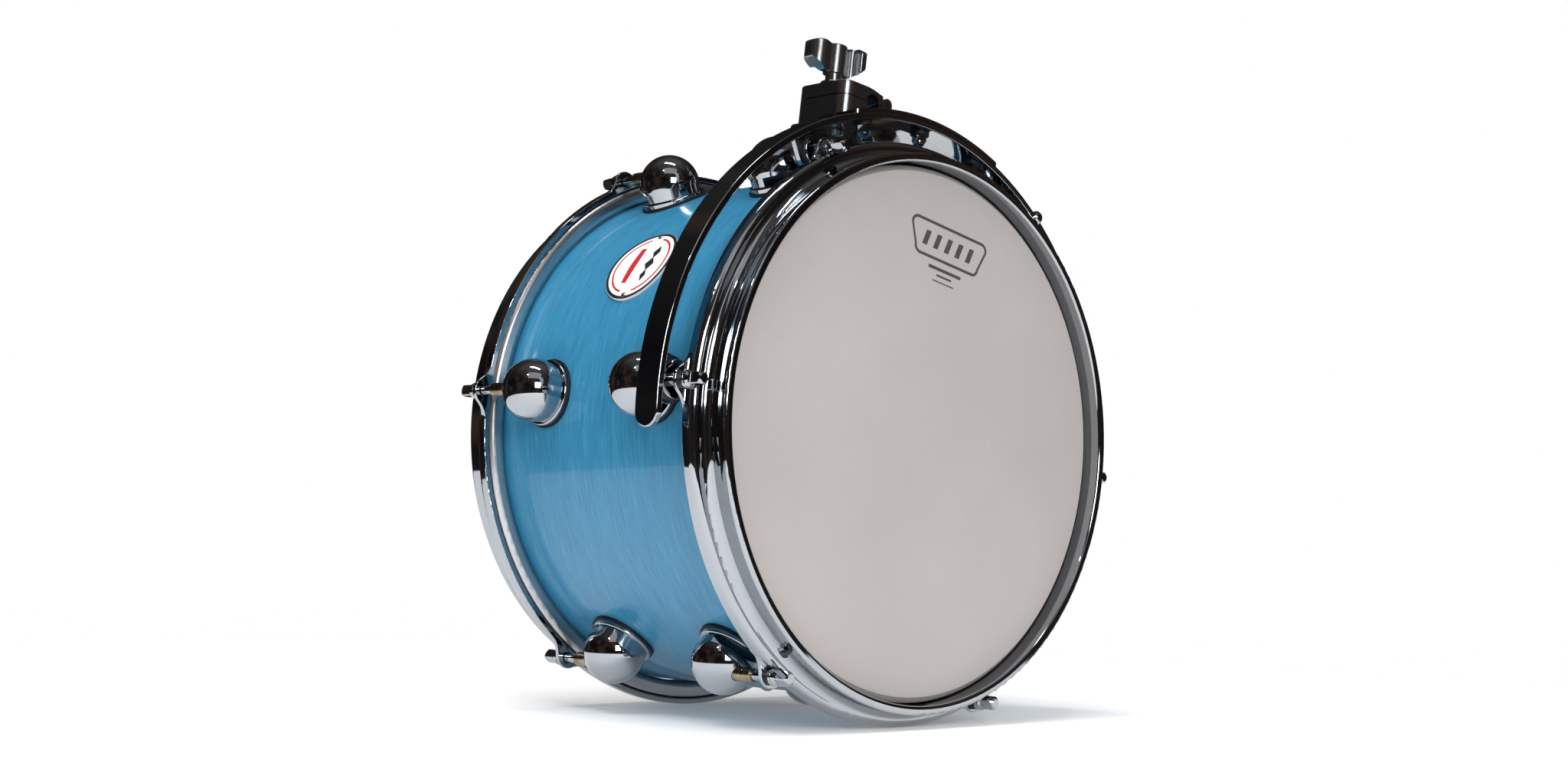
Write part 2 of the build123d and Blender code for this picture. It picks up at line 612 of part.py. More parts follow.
def wing_side_outline():
    """The wings from the side: level on top, cut away below towards the tips."""
    height = WING_TIP_TOP_R - WING_NECK_TOP_R
    right = [
        (WING_HALF_SPAN - 7.5, 0),
        (WING_HALF_SPAN, height * 0.42),
        (WING_HALF_SPAN, height),
        (11.0, height),
        (6.0, height - 1.6),
    ]
    left = [(-x, z) for x, z in reversed(right)]
    radii = [3.5, 3.0, 3.6, 4.0, 3.0]
    return make_face(FilletPolyline(*right, *left, radius=radii + radii[::-1], close=True))


def wing_plan_outline():
    """The wings from above: an S, each wing curling round at its tip."""
    inside = WING_HALF_SPAN - WING_T
    right = [
        (inside, -WING_T / 2),
        (inside, -WING_CURL),
        (WING_HALF_SPAN, -WING_CURL),
        (WING_HALF_SPAN, WING_T / 2),
    ]
    left = [(-x, -y) for x, y in right]
    radii = [3.0, 1.8, 1.8, 7.5]
    return make_face(FilletPolyline(*right, *left, radius=radii * 2, close=True))


def wing_end_outline():
    """The wings from the end: round below and above where they curl."""
    height = WING_TIP_TOP_R - WING_NECK_TOP_R
    corners = [(-WING_CURL, 0), (WING_CURL, 0), (WING_CURL, height), (-WING_CURL, height)]
    return make_face(FilletPolyline(*corners, radius=[6.5, 6.5, 4.5, 4.5], close=True))


def make_wing_nut():
    """A neck and a hub with two tall wings that curl opposite ways."""
    height = WING_TIP_TOP_R - WING_NECK_TOP_R
    wings = extrude(wing_plan_outline(), height)
    levels = wings.edges().group_by(Axis.Z)
    wings = fillet(levels[0] + levels[-1], 0.9)
    wings &= extrude(Plane.XZ * wing_side_outline(), 2 * WING_CURL, both=True)
    wings &= extrude(Plane.YZ * wing_end_outline(), 2 * WING_HALF_SPAN, both=True)
    wings = Pos(STUD_X, CLAMP_Y, WING_NECK_TOP_R) * wings
    hub = post(WING_HUB_R, WING_NECK_TOP_R, WING_HUB_TOP_R, x=STUD_X, y=CLAMP_Y)
    hub = chamfer(hub.edges().sort_by(Axis.Z)[-1], 0.6)
    neck = post(WING_NECK_R, WING_BASE_R, WING_NECK_TOP_R + 1, x=STUD_X, y=CLAMP_Y)
    bore = post(STUD_R + 0.06, WING_BASE_R - 1, WING_TIP_TOP_R + 1, x=STUD_X, y=CLAMP_Y)
    return neck + hub + wings - bore


# ---- badge ----
def make_badge():
    disc = post(BADGE_R, SHELL_R - 5, SHELL_R + 5, y=BADGE_Y)
    disc = (disc & drum_cylinder(SHELL_R + BADGE_T)) - drum_cylinder(SHELL_R)
    for angle in badge_pin_angles():
        disc -= turned(post(0.8, SHELL_R - 2, SHELL_R + 4, y=BADGE_Y), angle)
    return disc


def badge_pin_angles():
    return [sign * math.degrees((BADGE_R - 3) / SHELL_R) for sign in (-1, 1)]


def make_badge_pin():
    """A round-headed pin that holds the badge's rim."""
    face = SHELL_R + BADGE_T
    head = (Pos(0, BADGE_Y, face - 1.2) * Sphere(2.0)) & post(3, face, face + 3, y=BADGE_Y)
    return head + post(0.8, SHELL_R, face, y=BADGE_Y)


# ---- write every node ----
os.makedirs("parts", exist_ok=True)

save("shell", make_shell())
for side_name, sign in SIDES.items():
    save(f"{side_name}_head", make_head(sign))
    save(f"{side_name}_flesh_hoop", make_flesh_hoop(sign))
hoop = make_hoop()
save("resonant_hoop", hoop)
save("batter_hoop", mirror(hoop, about=Plane.XZ))

lugs = on_both_sides(make_lug())
rods = on_both_sides(make_rod())
for number in range(2 * RODS_PER_SIDE):
    side_name = "batter" if number < RODS_PER_SIDE else "resonant"
    place = number % RODS_PER_SIDE + 1
    save(f"{side_name}_lug_{place}", lugs[number])
    save(f"{side_name}_rod_{place}", rods[number])

save("lug_gaskets", on_both_sides(make_lug_gasket()))
save("swivel_nuts", make_swivel_nuts())
save("lug_screws", on_both_sides(make_lug_screw()))
save("lug_screw_washers", on_both_sides(make_lug_screw_washer()))
save("rod_nylon_washers", on_both_sides(make_nylon_washer()))
save("rod_steel_washers", on_both_sides(make_steel_washer()))

save("suspension_band", make_band())
grommets = [turned(make_grommet(), MOUNT_CLOCK + angle) for angle in TAB_ANGLES]
save("band_grommets", grommets)
sleeves = [turned(make_grommet_sleeve(), MOUNT_CLOCK + angle) for angle in TAB_ANGLES]
save("grommet_sleeves", sleeves)
front_washer = make_grommet_washer(GROMMET_FRONT - GROMMET_WASHER_T)
back_washer = make_grommet_washer(GROMMET_BACK)
washers = [turned(w, MOUNT_CLOCK + a) for a in TAB_ANGLES for w in (front_washer, back_washer)]
save("grommet_washers", washers)

save("mount_plate", turned(make_plate(), MOUNT_CLOCK))
plate_clocks = [MOUNT_CLOCK + angle for angle in PLATE_SCREW_ANGLES]
save("plate_screws", [turned(make_plate_screw(), clock) for clock in plate_clocks])
save("plate_bushings", [turned(make_plate_bushing(), clock) for clock in plate_clocks])
save("plate_cap_nuts", [turned(make_plate_cap_nut(), clock) for clock in plate_clocks])

save("clamp_pad", turned(make_clamp_pad(), MOUNT_CLOCK))
save("clamp_base", turned(make_clamp_base(), MOUNT_CLOCK))
save("clamp_screws", [turned(make_clamp_screw(x, y), MOUNT_CLOCK) for x, y in clamp_screw_places()])
save("clamp_cap", turned(make_clamp_cap(), MOUNT_CLOCK))
save("clamp_hinge_pin", turned(make_hinge_pin(), MOUNT_CLOCK))
save("clamp_stud", turned(make_stud(), MOUNT_CLOCK))
save("clamp_washer", turned(make_clamp_washer(), MOUNT_CLOCK))
save("wing_nut", turned(make_wing_nut(), MOUNT_CLOCK))

save("badge", turned(make_badge(), BADGE_CLOCK))
save("badge_pins", [turned(make_badge_pin(), BADGE_CLOCK + angle) for angle in badge_pin_angles()])

print("mount clock", round(MOUNT_CLOCK, 3), "rest angle", round(REST_ANGLE, 3))
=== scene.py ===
"""A rack tom drum: chrome hoops, lugs and mount round a blue lacquered shell with two heads."""

import json
import math

import bmesh
import bpy
from mathutils import Matrix, Vector


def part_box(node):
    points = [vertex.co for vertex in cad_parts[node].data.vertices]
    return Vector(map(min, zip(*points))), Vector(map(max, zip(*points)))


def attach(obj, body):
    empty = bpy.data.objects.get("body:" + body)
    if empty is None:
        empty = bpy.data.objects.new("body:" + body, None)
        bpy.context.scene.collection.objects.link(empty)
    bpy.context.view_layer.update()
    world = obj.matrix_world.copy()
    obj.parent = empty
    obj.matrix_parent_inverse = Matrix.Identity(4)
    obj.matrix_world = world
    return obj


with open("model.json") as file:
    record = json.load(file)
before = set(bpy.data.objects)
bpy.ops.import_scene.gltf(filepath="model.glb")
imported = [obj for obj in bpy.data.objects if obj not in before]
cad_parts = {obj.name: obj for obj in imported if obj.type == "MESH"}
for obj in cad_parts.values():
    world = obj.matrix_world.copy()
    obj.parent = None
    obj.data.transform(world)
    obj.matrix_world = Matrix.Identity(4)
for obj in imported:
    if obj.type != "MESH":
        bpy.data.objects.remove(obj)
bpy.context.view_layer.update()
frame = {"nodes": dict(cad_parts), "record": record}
NODES = frame["nodes"]
RECORD = frame["record"]
MM = 0.001

for leftover in ("Cube", "Light", "Camera"):
    if leftover in bpy.data.objects:
        bpy.data.objects.remove(bpy.data.objects[leftover])


# ---- places, from the frame ----
def middle(node):
    low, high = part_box(node)
    return (low + high) / 2


AXIS_HEIGHT = middle("batter_head").z
JOINTS = {joint["name"]: joint for joint in RECORD["behaviour"]["joints"]}


def clock_of(x, z):
    """The angle round the drum's axis, from straight up towards +X."""
    return math.atan2(x, z - AXIS_HEIGHT)


def around(clock, radius, y, tangent=0.0):
    """The point at a clock angle, a radius from the axis and a y, moved along the tangent."""
    x = radius * math.sin(clock) + tangent * math.cos(clock)
    z = radius * math.cos(clock) - tangent * math.sin(clock)
    return Vector((x, y, AXIS_HEIGHT + z))


FIRST_ROD = JOINTS["batter_rod_1_turn"]["pos_m"]
ROD_PITCH = math.radians(60)
MOUNT_CLOCK = clock_of(FIRST_ROD[0], FIRST_ROD[2]) - ROD_PITCH / 2
SHELL_R = 151.0 * MM
SHELL_INSIDE_R = 145.0 * MM
SKIN_DEPTH = 0.35 * MM
HEAD_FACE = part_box("batter_head")[0].y
BADGE_FACE_R = SHELL_R + 1.4 * MM
BADGE_R = 25.0 * MM
INK_T = 0.05 * MM
INK_ROOT = 0.02 * MM

# The mark on the batter head, in mm. A plate is its half widths at the top and the bottom, its half
# height and its corner radius. A line is its height, half length and half width.
HEAD_MARK_TURN = math.radians(4.1)
HEAD_MARK_R = 110.0 * MM
PLATE_OUTER = (33.0, 28.0, 10.8, 5.0)
PLATE_INNER = (31.3, 26.3, 9.1, 3.4)
BAR_COUNT = 5
BAR_PITCH = 9.4
BAR_HALF_LENGTH = 2.0
BAR_HALF_WIDTH = 4.4
BAR_SLANT = 0.3
HEAD_LINES = ((-15.2, 14.0, 0.95), (-18.9, 6.5, 0.6), (-22.4, 9.0, 0.35))

# The print on the badge, in mm from its middle. The red bar is its ends, height and half width. A
# diamond is its middle, half length and half width.
BORDER_WIDTH = 2.0
BORDER_GAP = 0.1
RED_RING = (19.4, 20.6)
RED_RING_GAP = math.radians(14)
RED_BAR = (-13.5, 12.5, 5.6, 1.9)
DIAMOND_ROW = -8.0
DIAMONDS = ((-9.0, 4.4, 2.2), (-0.6, 5.0, 3.6), (8.4, 5.0, 2.8))

# Finishes. Noise mostly stays between the first two.
NOISE_LOW = 0.3
NOISE_HIGH = 0.7
WOOD_ROUGHNESS = 0.78
LACQUER_SMOOTHING = 0.42
LACQUER_COAT = 0.55

# Studio. A light is: azimuth, elevation, distance, size, watts, seen in reflections, colour.
WHITE = (1.0, 1.0, 1.0)
FLOOR_REACH = 0.82
FLOOR_GLOW = 0.17
FILL_COLOUR = (0.96, 0.98, 1.0, 1.0)
FILL_STRENGTH = 0.47
ROOM_DARK = [
    (0.00, (0.030, 0.028, 0.027)),
    (0.49, (0.014, 0.013, 0.015)),
    (0.66, (0.008, 0.007, 0.008)),
    (0.82, (0.022, 0.021, 0.021)),
    (0.92, (0.060, 0.059, 0.059)),
    (1.00, (0.130, 0.130, 0.132)),
]
ROOM_PATCHES = [(0.47, (0.0, 0.0, 0.0)), (0.62, (0.050, 0.030, 0.016))]
LIGHTS = {
    "key_softbox": (-29, 15, 1.9, (0.62, 0.62), 15, True, WHITE),
    "top_strip": (-60, 82, 1.9, (0.9, 0.18), 6, True, WHITE),
    "ceiling_front": (-42, 50, 2.3, (1.7, 0.9), 2.4, True, WHITE),
    "blue_screen": (-13, 26, 2.4, (0.5, 1.3), 1.5, True, (0.66, 0.84, 1.0)),
    "lamp_row": (-75, 48, 2.2, (0.07, 0.07), 2.2, True, WHITE),
    "overhead_soft": (-72, 66, 2.6, (1.9, 1.9), 52, False, WHITE),
    "front_soft": (-10, 35, 2.8, (2.0, 2.0), 10, False, WHITE),
}
CAMERA_PLACE = Vector((-0.86725, -0.88989, 0.10066))
CAMERA_AIM = Vector((-0.0071, 0.0034, 0.1972))
CAMERA_ROLL = math.radians(1.634)
CAMERA_LENS = 47.557
SENSOR_WIDTH = 36.0


# ---- materials ----
def set_ramp(node, stops):
    """A colour ramp's stops, as pairs of position and colour."""
    elements = node.color_ramp.elements
    while len(elements) < len(stops):
        elements.new(0.5)
    for element, (position, colour) in zip(elements, stops):
        element.position = position
        element.color = (*colour, 1.0)


def colour_sockets(sockets):
    return [socket for socket in sockets if socket.type == "RGBA"]


class Shader:
    """A material with short ways to add and join its nodes."""

    def __init__(self, name):
        self.material = bpy.data.materials.new(name)
        self.material.use_nodes = True
        self.tree = self.material.node_tree
        self.bsdf = self.tree.nodes["Principled BSDF"]

    def node(self, kind, **settings):
        made = self.tree.nodes.new(kind)
        for key, value in settings.items():
            setattr(made, key, value)
        return made

    def join(self, output, socket):
        self.tree.links.new(output, socket)

    def set(self, **values):
        """Uniform values on the shader's own sockets, with underscores for spaces."""
        for key, value in values.items():
            self.bsdf.inputs[key.replace("_", " ")].default_value = value

    def place(self, stretch):
        """Object coordinates, scaled."""
        source = self.node("ShaderNodeTexCoord")
        mapping = self.node("ShaderNodeMapping")
        mapping.inputs["Scale"].default_value = stretch
        self.join(source.outputs["Object"], mapping.inputs["Vector"])
        return mapping.outputs["Vector"]

    def noise(self, scale, stretch=(1, 1, 1), detail=4.0, roughness=0.5):
        made = self.node("ShaderNodeTexNoise")
        made.inputs["Scale"].default_value = scale
        made.inputs["Detail"].default_value = detail
        made.inputs["Roughness"].default_value = roughness
        self.join(self.place(stretch), made.inputs["Vector"])
        return made.outputs["Fac"]

    def spread(self, value, low, high):
        """A noise's usual range, mapped to low to high."""
        made = self.node("ShaderNodeMapRange")
        numbers = {"From Min": NOISE_LOW, "From Max": NOISE_HIGH, "To Min": low, "To Max": high}
        for name, number in numbers.items():
            made.inputs[name].default_value = number
        self.join(value, made.inputs["Value"])
        return made.outputs["Result"]

    def ramp(self, value, stops):
        made = self.node("ShaderNodeValToRGB")
        set_ramp(made, stops)
        self.join(value, made.inputs["Fac"])
        return made.outputs["Color"]

    def feed(self, value, socket):
        """A plain number, or another node's output, into a socket."""
        if isinstance(value, (int, float)):
            socket.default_value = value
        else:
            self.join(value, socket)

    def math(self, operation, first, second=None):
        made = self.node("ShaderNodeMath", operation=operation)
        self.feed(first, made.inputs[0])
        if second is not None:
            self.feed(second, made.inputs[1])
        return made.outputs["Value"]

    def mix(self, factor, first, second, blend="MIX"):
        made = self.node("ShaderNodeMix", data_type="RGBA", blend_type=blend)
        for socket, value in zip(colour_sockets(made.inputs), (first, second)):
            self.join(value, socket)
        self.feed(factor, made.inputs["Factor"])
        return colour_sockets(made.outputs)[0]

    def bump(self, height, distance, strength):
        made = self.node("ShaderNodeBump")
        made.inputs["Strength"].default_value = strength
        made.inputs["Distance"].default_value = distance
        self.join(height, made.inputs["Height"])
        self.join(made.outputs["Normal"], self.bsdf.inputs["Normal"])

    def axis_radius(self):
        """The distance from the drum's axis, and y."""
        source = self.node("ShaderNodeTexCoord")
        parts = self.node("ShaderNodeSeparateXYZ")
        self.join(source.outputs["Object"], parts.inputs["Vector"])
        height = self.math("SUBTRACT", parts.outputs["Z"], AXIS_HEIGHT)
        squares = self.math(
            "ADD",
            self.math("MULTIPLY", parts.outputs["X"], parts.outputs["X"]),
            self.math("MULTIPLY", height, height),
        )
        return self.math("SQRT", squares), parts.outputs["Y"]


def chrome(name, colour, low, high):
    """Plated metal: mirror bright, with faint waves and cloudy wiped patches."""
    shader = Shader(name)
    shader.set(Metallic=1.0)
    cloud = shader.noise(38.0, detail=5.0)
    shader.join(shader.spread(cloud, low, high), shader.bsdf.inputs["Roughness"])
    tint = shader.ramp(cloud, [(0.35, colour), (0.7, tuple(c * 0.94 for c in colour))])
    shader.join(tint, shader.bsdf.inputs["Base Color"])
    shader.bump(shader.noise(60.0, detail=0.0), 0.00001, 0.5)
    return shader.material


def zinc(name):
    """Dull plated steel with a turned grain."""
    shader = Shader(name)
    shader.set(Metallic=1.0)
    grain = shader.noise(900.0, stretch=(1.0, 0.2, 1.0), detail=3.0)
    shader.join(shader.spread(grain, 0.24, 0.42), shader.bsdf.inputs["Roughness"])
    tint = shader.ramp(grain, [(0.3, (0.42, 0.41, 0.38)), (0.7, (0.56, 0.56, 0.54))])
    shader.join(tint, shader.bsdf.inputs["Base Color"])
    shader.bump(grain, 0.00001, 0.5)
    return shader.material


def brass(name):
    """Turned brass, browned where it has been handled."""
    shader = Shader(name)
    shader.set(Metallic=1.0)
    turned = shader.noise(500.0, stretch=(0.4, 5.0, 0.4), detail=3.0)
    stain = shader.noise(120.0, detail=5.0)
    tint = shader.ramp(stain, [(0.35, (0.20, 0.155, 0.105)), (0.65, (0.36, 0.295, 0.205))])
    shader.join(tint, shader.bsdf.inputs["Base Color"])
    shader.join(shader.spread(turned, 0.16, 0.34), shader.bsdf.inputs["Roughness"])
    shader.bump(turned, 0.00002, 0.5)
    return shader.material


def aluminium(name):
    """Extruded aluminium with faint drawn lines."""
    shader = Shader(name)
    shader.set(Metallic=1.0)
    drawn = shader.noise(30.0, stretch=(0.4, 60.0, 0.4), detail=2.0)
    tint = shader.ramp(drawn, [(0.3, (0.50, 0.50, 0.51)), (0.7, (0.56, 0.555, 0.56))])
    shader.join(tint, shader.bsdf.inputs["Base Color"])
    shader.join(shader.spread(drawn, 0.27, 0.34), shader.bsdf.inputs["Roughness"])
    shader.bump(drawn, 0.000002, 0.3)
    return shader.material


def rubber(name, colour, low, high):
    """Moulded black rubber or nylon, a little cloudy and pebbled."""
    shader = Shader(name)
    cloud = shader.noise(160.0, detail=4.0)
    grain = shader.noise(2600.0, detail=2.0)
    shader.set(Specular_IOR_Level=0.22)
    lighter = tuple(c * 1.6 + 0.002 for c in colour)
    tint = shader.ramp(cloud, [(0.35, colour), (0.75, lighter)])
    shader.join(tint, shader.bsdf.inputs["Base Color"])
    shader.join(shader.spread(cloud, low, high), shader.bsdf.inputs["Roughness"])
    shader.bump(grain, 0.00003, 0.5)
    return shader.material


def lacquer(name):
    """Blue lacquer over fine streaks of grain that run round the shell, and bare wood inside."""
    shader = Shader(name)
    radius, along = shader.axis_radius()
    broad = shader.noise(26.0, stretch=(1.0, 5.0, 1.0), detail=5.0)
    streaks = shader.noise(100.0, stretch=(0.55, 9.0, 0.55), detail=5.0, roughness=0.62)
    hairs = shader.noise(260.0, stretch=(0.35, 6.5, 0.35), detail=3.0, roughness=0.6)
    blue = shader.ramp(
        streaks,
        [
            (0.26, (0.022, 0.160, 0.296)),
            (0.46, (0.032, 0.206, 0.364)),
            (0.60, (0.038, 0.233, 0.396)),
            (0.80, (0.070, 0.306, 0.474)),
        ],
    )
    hair_tint = shader.ramp(
        hairs,
        [(0.30, (0.74, 0.80, 0.85)), (0.46, (1.0, 1.0, 1.0)), (0.72, (1.12, 1.08, 1.05))],
    )
    broad_tint = shader.ramp(broad, [(0.30, (0.88, 0.91, 0.94)), (0.70, (1.06, 1.04, 1.03))])
    grained = shader.mix(0.6, blue, hair_tint, "MULTIPLY")
    outside = shader.mix(1.0, grained, broad_tint, "MULTIPLY")
    grain = shader.noise(55.0, stretch=(0.3, 10.0, 0.3), detail=6.0, roughness=0.6)
    wood = shader.ramp(
        grain,
        [(0.28, (0.34, 0.20, 0.095)), (0.50, (0.50, 0.33, 0.175)), (0.75, (0.60, 0.42, 0.24))],
    )
    plies = shader.node("ShaderNodeTexWave", bands_direction="X")
    plies.inputs["Scale"].default_value = 160.0
    plies.inputs["Distortion"].default_value = 0.3
    rings = shader.node("ShaderNodeCombineXYZ")
    shader.join(radius, rings.inputs["X"])
    shader.join(along, rings.inputs["Y"])
    shader.join(rings.outputs["Vector"], plies.inputs["Vector"])
    ply_tint = shader.ramp(
        plies.outputs["Fac"],
        [(0.35, (0.62, 0.50, 0.40)), (0.6, (1.0, 1.0, 1.0))],
    )
    cut = shader.mix(1.0, wood, ply_tint, "MULTIPLY")
    is_outside = shader.math("GREATER_THAN", radius, SHELL_R - SKIN_DEPTH)
    is_cut = shader.math("GREATER_THAN", radius, SHELL_INSIDE_R + SKIN_DEPTH)
    bare = shader.mix(is_cut, wood, cut)
    shader.join(shader.mix(is_outside, bare, outside), shader.bsdf.inputs["Base Color"])
    wear = shader.spread(shader.noise(45.0, detail=4.0), 0.30, 0.40)
    smoothing = shader.math("MULTIPLY", is_outside, LACQUER_SMOOTHING)
    dull = shader.math("SUBTRACT", WOOD_ROUGHNESS, smoothing)
    worn = shader.math("MULTIPLY", dull, shader.math("ADD", wear, 0.62))
    shader.join(worn, shader.bsdf.inputs["Roughness"])
    shader.join(shader.math("MULTIPLY", is_outside, LACQUER_COAT), shader.bsdf.inputs["Coat Weight"])
    shader.set(Coat_Roughness=0.08, Coat_IOR=1.45, Specular_IOR_Level=0.2)
    shader.bump(streaks, 0.00002, 0.2)
    return shader.material


def coated_film(name):
    """A sprayed coating: warm white, sandy and a little cloudy."""
    shader = Shader(name)
    sand = shader.noise(2400.0, detail=2.0)
    cloud = shader.noise(9.0, detail=5.0)
    tint = shader.ramp(cloud, [(0.30, (0.374, 0.347, 0.331)), (0.72, (0.404, 0.375, 0.359))])
    speck = shader.ramp(sand, [(0.30, (0.93, 0.93, 0.93)), (0.62, (1.0, 1.0, 1.0))])
    shader.join(shader.mix(1.0, tint, speck, "MULTIPLY"), shader.bsdf.inputs["Base Color"])
    shader.join(shader.spread(cloud, 0.52, 0.66), shader.bsdf.inputs["Roughness"])
    shader.bump(sand, 0.00005, 0.5)
    return shader.material


def clear_film(name):
    """Clear polished film with slight haze."""
    shader = Shader(name)
    haze = shader.noise(14.0, detail=5.0)
    shader.set(IOR=1.55)
    tint = shader.ramp(haze, [(0.3, (0.80, 0.84, 0.85)), (0.7, (0.90, 0.92, 0.92))])
    shader.join(tint, shader.bsdf.inputs["Base Color"])
    shader.join(shader.spread(haze, 0.06, 0.14), shader.bsdf.inputs["Roughness"])
    shader.join(shader.spread(haze, 0.16, 0.24), shader.bsdf.inputs["Alpha"])
    return shader.material


def print_ink(name, colour):
    """Printed ink, a little uneven where the coating shows through."""
    shader = Shader(name)
    sand = shader.noise(1900.0, detail=2.0)
    lighter = tuple(c * 1.5 + 0.012 for c in colour)
    tint = shader.ramp(sand, [(0.4, colour), (0.8, lighter)])
    shader.join(tint, shader.bsdf.inputs["Base Color"])
    shader.join(shader.spread(sand, 0.42, 0.6), shader.bsdf.inputs["Roughness"])
    shader.bump(sand, 0.00002, 0.4)
    return shader.material


def enamel(name, colour):
    """Gloss enamel with a faint orange peel."""
    shader = Shader(name)
    peel = shader.noise(700.0, detail=2.0)
    darker = tuple(c * 0.93 for c in colour)
    tint = shader.ramp(peel, [(0.3, darker), (0.7, colour)])
    shader.join(tint, shader.bsdf.inputs["Base Color"])
    shader.join(shader.spread(peel, 0.16, 0.26), shader.bsdf.inputs["Roughness"])
    shader.set(Coat_Weight=0.4, Coat_Roughness=0.06)
    shader.bump(peel, 0.00001, 0.4)
    return shader.material


MATERIALS = {
    "chrome": chrome("chrome_plate", (0.395, 0.415, 0.44), 0.025, 0.075),
    "cast_chrome": chrome("cast_chrome", (0.56, 0.58, 0.60), 0.13, 0.20),
    "zinc_steel": zinc("zinc_plated_steel"),
    "pin_steel": zinc("darkened_steel"),
    "brass": brass("turned_brass"),
    "aluminium": aluminium("drawn_aluminium"),
    "black_rubber": rubber("black_rubber", (0.009, 0.009, 0.012), 0.40, 0.60),
    "dark_nylon": rubber("dark_nylon", (0.018, 0.017, 0.018), 0.28, 0.42),
    "blue_lacquer": lacquer("blue_lacquer"),
    "coated_film": coated_film("coated_film"),
    "clear_film": clear_film("clear_film"),
    "badge_enamel": enamel("white_enamel", (0.82, 0.81, 0.79)),
}


def finish_node(node, material):
    """The material in place of what the node came with."""
    slots = NODES[node].data.materials
    slots.clear()
    slots.append(MATERIALS[material])


for part in RECORD["subparts"]:
    finish_node(part["node"], part["material_slot"])

# Cast pieces are plated too, but their skin is a little softer than that of pressed ones.
for name in ("clamp_base", "clamp_cap", "wing_nut"):
    finish_node(name, "cast_chrome")
finish_node("badge_pins", "pin_steel")


# ---- printed marks, as thin layers of ink ----
def add_strip(shape, first_rail, second_rail, place, closed=False):
    """A thin slab between two rails of flat points, laid on a surface by place(u, v, lift)."""
    layers = []
    for lift in (-INK_ROOT, INK_T):
        rails = [[place(u, v, lift) for u, v in rail] for rail in (first_rail, second_rail)]
        layers.append([[shape.verts.new(point) for point in rail] for rail in rails])
    count = len(first_rail)
    (low_a, low_b), (high_a, high_b) = layers
    for i in range(count if closed else count - 1):
        j = (i + 1) % count
        shape.faces.new((high_a[i], high_a[j], high_b[j], high_b[i]))
        shape.faces.new((low_a[j], low_a[i], low_b[i], low_b[j]))
        shape.faces.new((low_a[i], low_a[j], high_a[j], high_a[i]))
        shape.faces.new((low_b[j], low_b[i], high_b[i], high_b[j]))
    if not closed:
        shape.faces.new((low_a[0], high_a[0], high_b[0], low_b[0]))
        shape.faces.new((low_a[-1], low_b[-1], high_b[-1], high_a[-1]))


def finish_print(name, shape, material, body):
    """The shape as a piece of its own, which rides on a body."""
    bmesh.ops.remove_doubles(shape, verts=shape.verts, dist=1e-7)
    bmesh.ops.dissolve_degenerate(shape, edges=shape.edges, dist=1e-7)
    bmesh.ops.recalc_face_normals(shape, faces=shape.faces)
    mesh = bpy.data.meshes.new(name)
    shape.to_mesh(mesh)
    shape.free()
    mesh.materials.append(material)
    made = bpy.data.objects.new(name, mesh)
    bpy.context.scene.collection.objects.link(made)
    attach(made, body)


def bar_rails(u0, u1, v_middle, half_width, steps=10, slant=0.0, swell=0.0):
    """The two rails of a bar along u, which may lean over and be thicker in its middle."""
    lower, upper = [], []
    for i in range(steps + 1):
        part = i / steps
        u = u0 + (u1 - u0) * part
        half = half_width * (1 + swell * math.sin(math.pi * part))
        lower.append((u - slant * half, v_middle - half))
        upper.append((u + slant * half, v_middle + half))
    return lower, upper


def arc_rails(inner, outer, start, end, steps):
    """The two rails of an arc of a ring, between two angles in radians."""
    angles = [start + (end - start) * i / steps for i in range(steps + 1)]
    return [[(r * math.cos(a), r * math.sin(a)) for a in angles] for r in (inner, outer)]


def plate_loop(half_top, half_bottom, half_height, corner, steps=6):
    """A closed loop: a flat-topped plate, wider above than below, with round corners."""
    corners = [
        (half_top, half_height),
        (-half_top, half_height),
        (-half_bottom, -half_height),
        (half_bottom, -half_height),
    ]
    loop = []
    for k, (u, v) in enumerate(corners):
        centre = (u - math.copysign(corner, u), v - math.copysign(corner, v))
        for i in range(steps + 1):
            angle = math.pi / 2 * (k + i / steps)
            across = centre[0] + corner * math.cos(angle)
            up = centre[1] + corner * math.sin(angle)
            loop.append((across, up))
    return loop


def make_head_print():
    """A plate outline with five slanted bars in it, and three short lines below."""
    clock = MOUNT_CLOCK + HEAD_MARK_TURN

    def on_head(u, v, lift):
        return around(clock, HEAD_MARK_R + v * MM, HEAD_FACE - lift, u * MM)

    shape = bmesh.new()
    outer = plate_loop(*PLATE_OUTER)
    inner = plate_loop(*PLATE_INNER)
    add_strip(shape, inner, outer, on_head, closed=True)
    for k in range(BAR_COUNT):
        u = (k - BAR_COUNT // 2) * BAR_PITCH
        ends = (u - BAR_HALF_LENGTH, u + BAR_HALF_LENGTH)
        rails = bar_rails(*ends, 0, BAR_HALF_WIDTH, steps=2, slant=BAR_SLANT)
        add_strip(shape, *rails, on_head)
    for v, half_length, half_width in HEAD_LINES:
        rails = bar_rails(-half_length, half_length, v, half_width)
        add_strip(shape, *rails, on_head)
    ink = print_ink("head_ink", (0.055, 0.045, 0.043))
    finish_print("head_print", shape, ink, "drum")


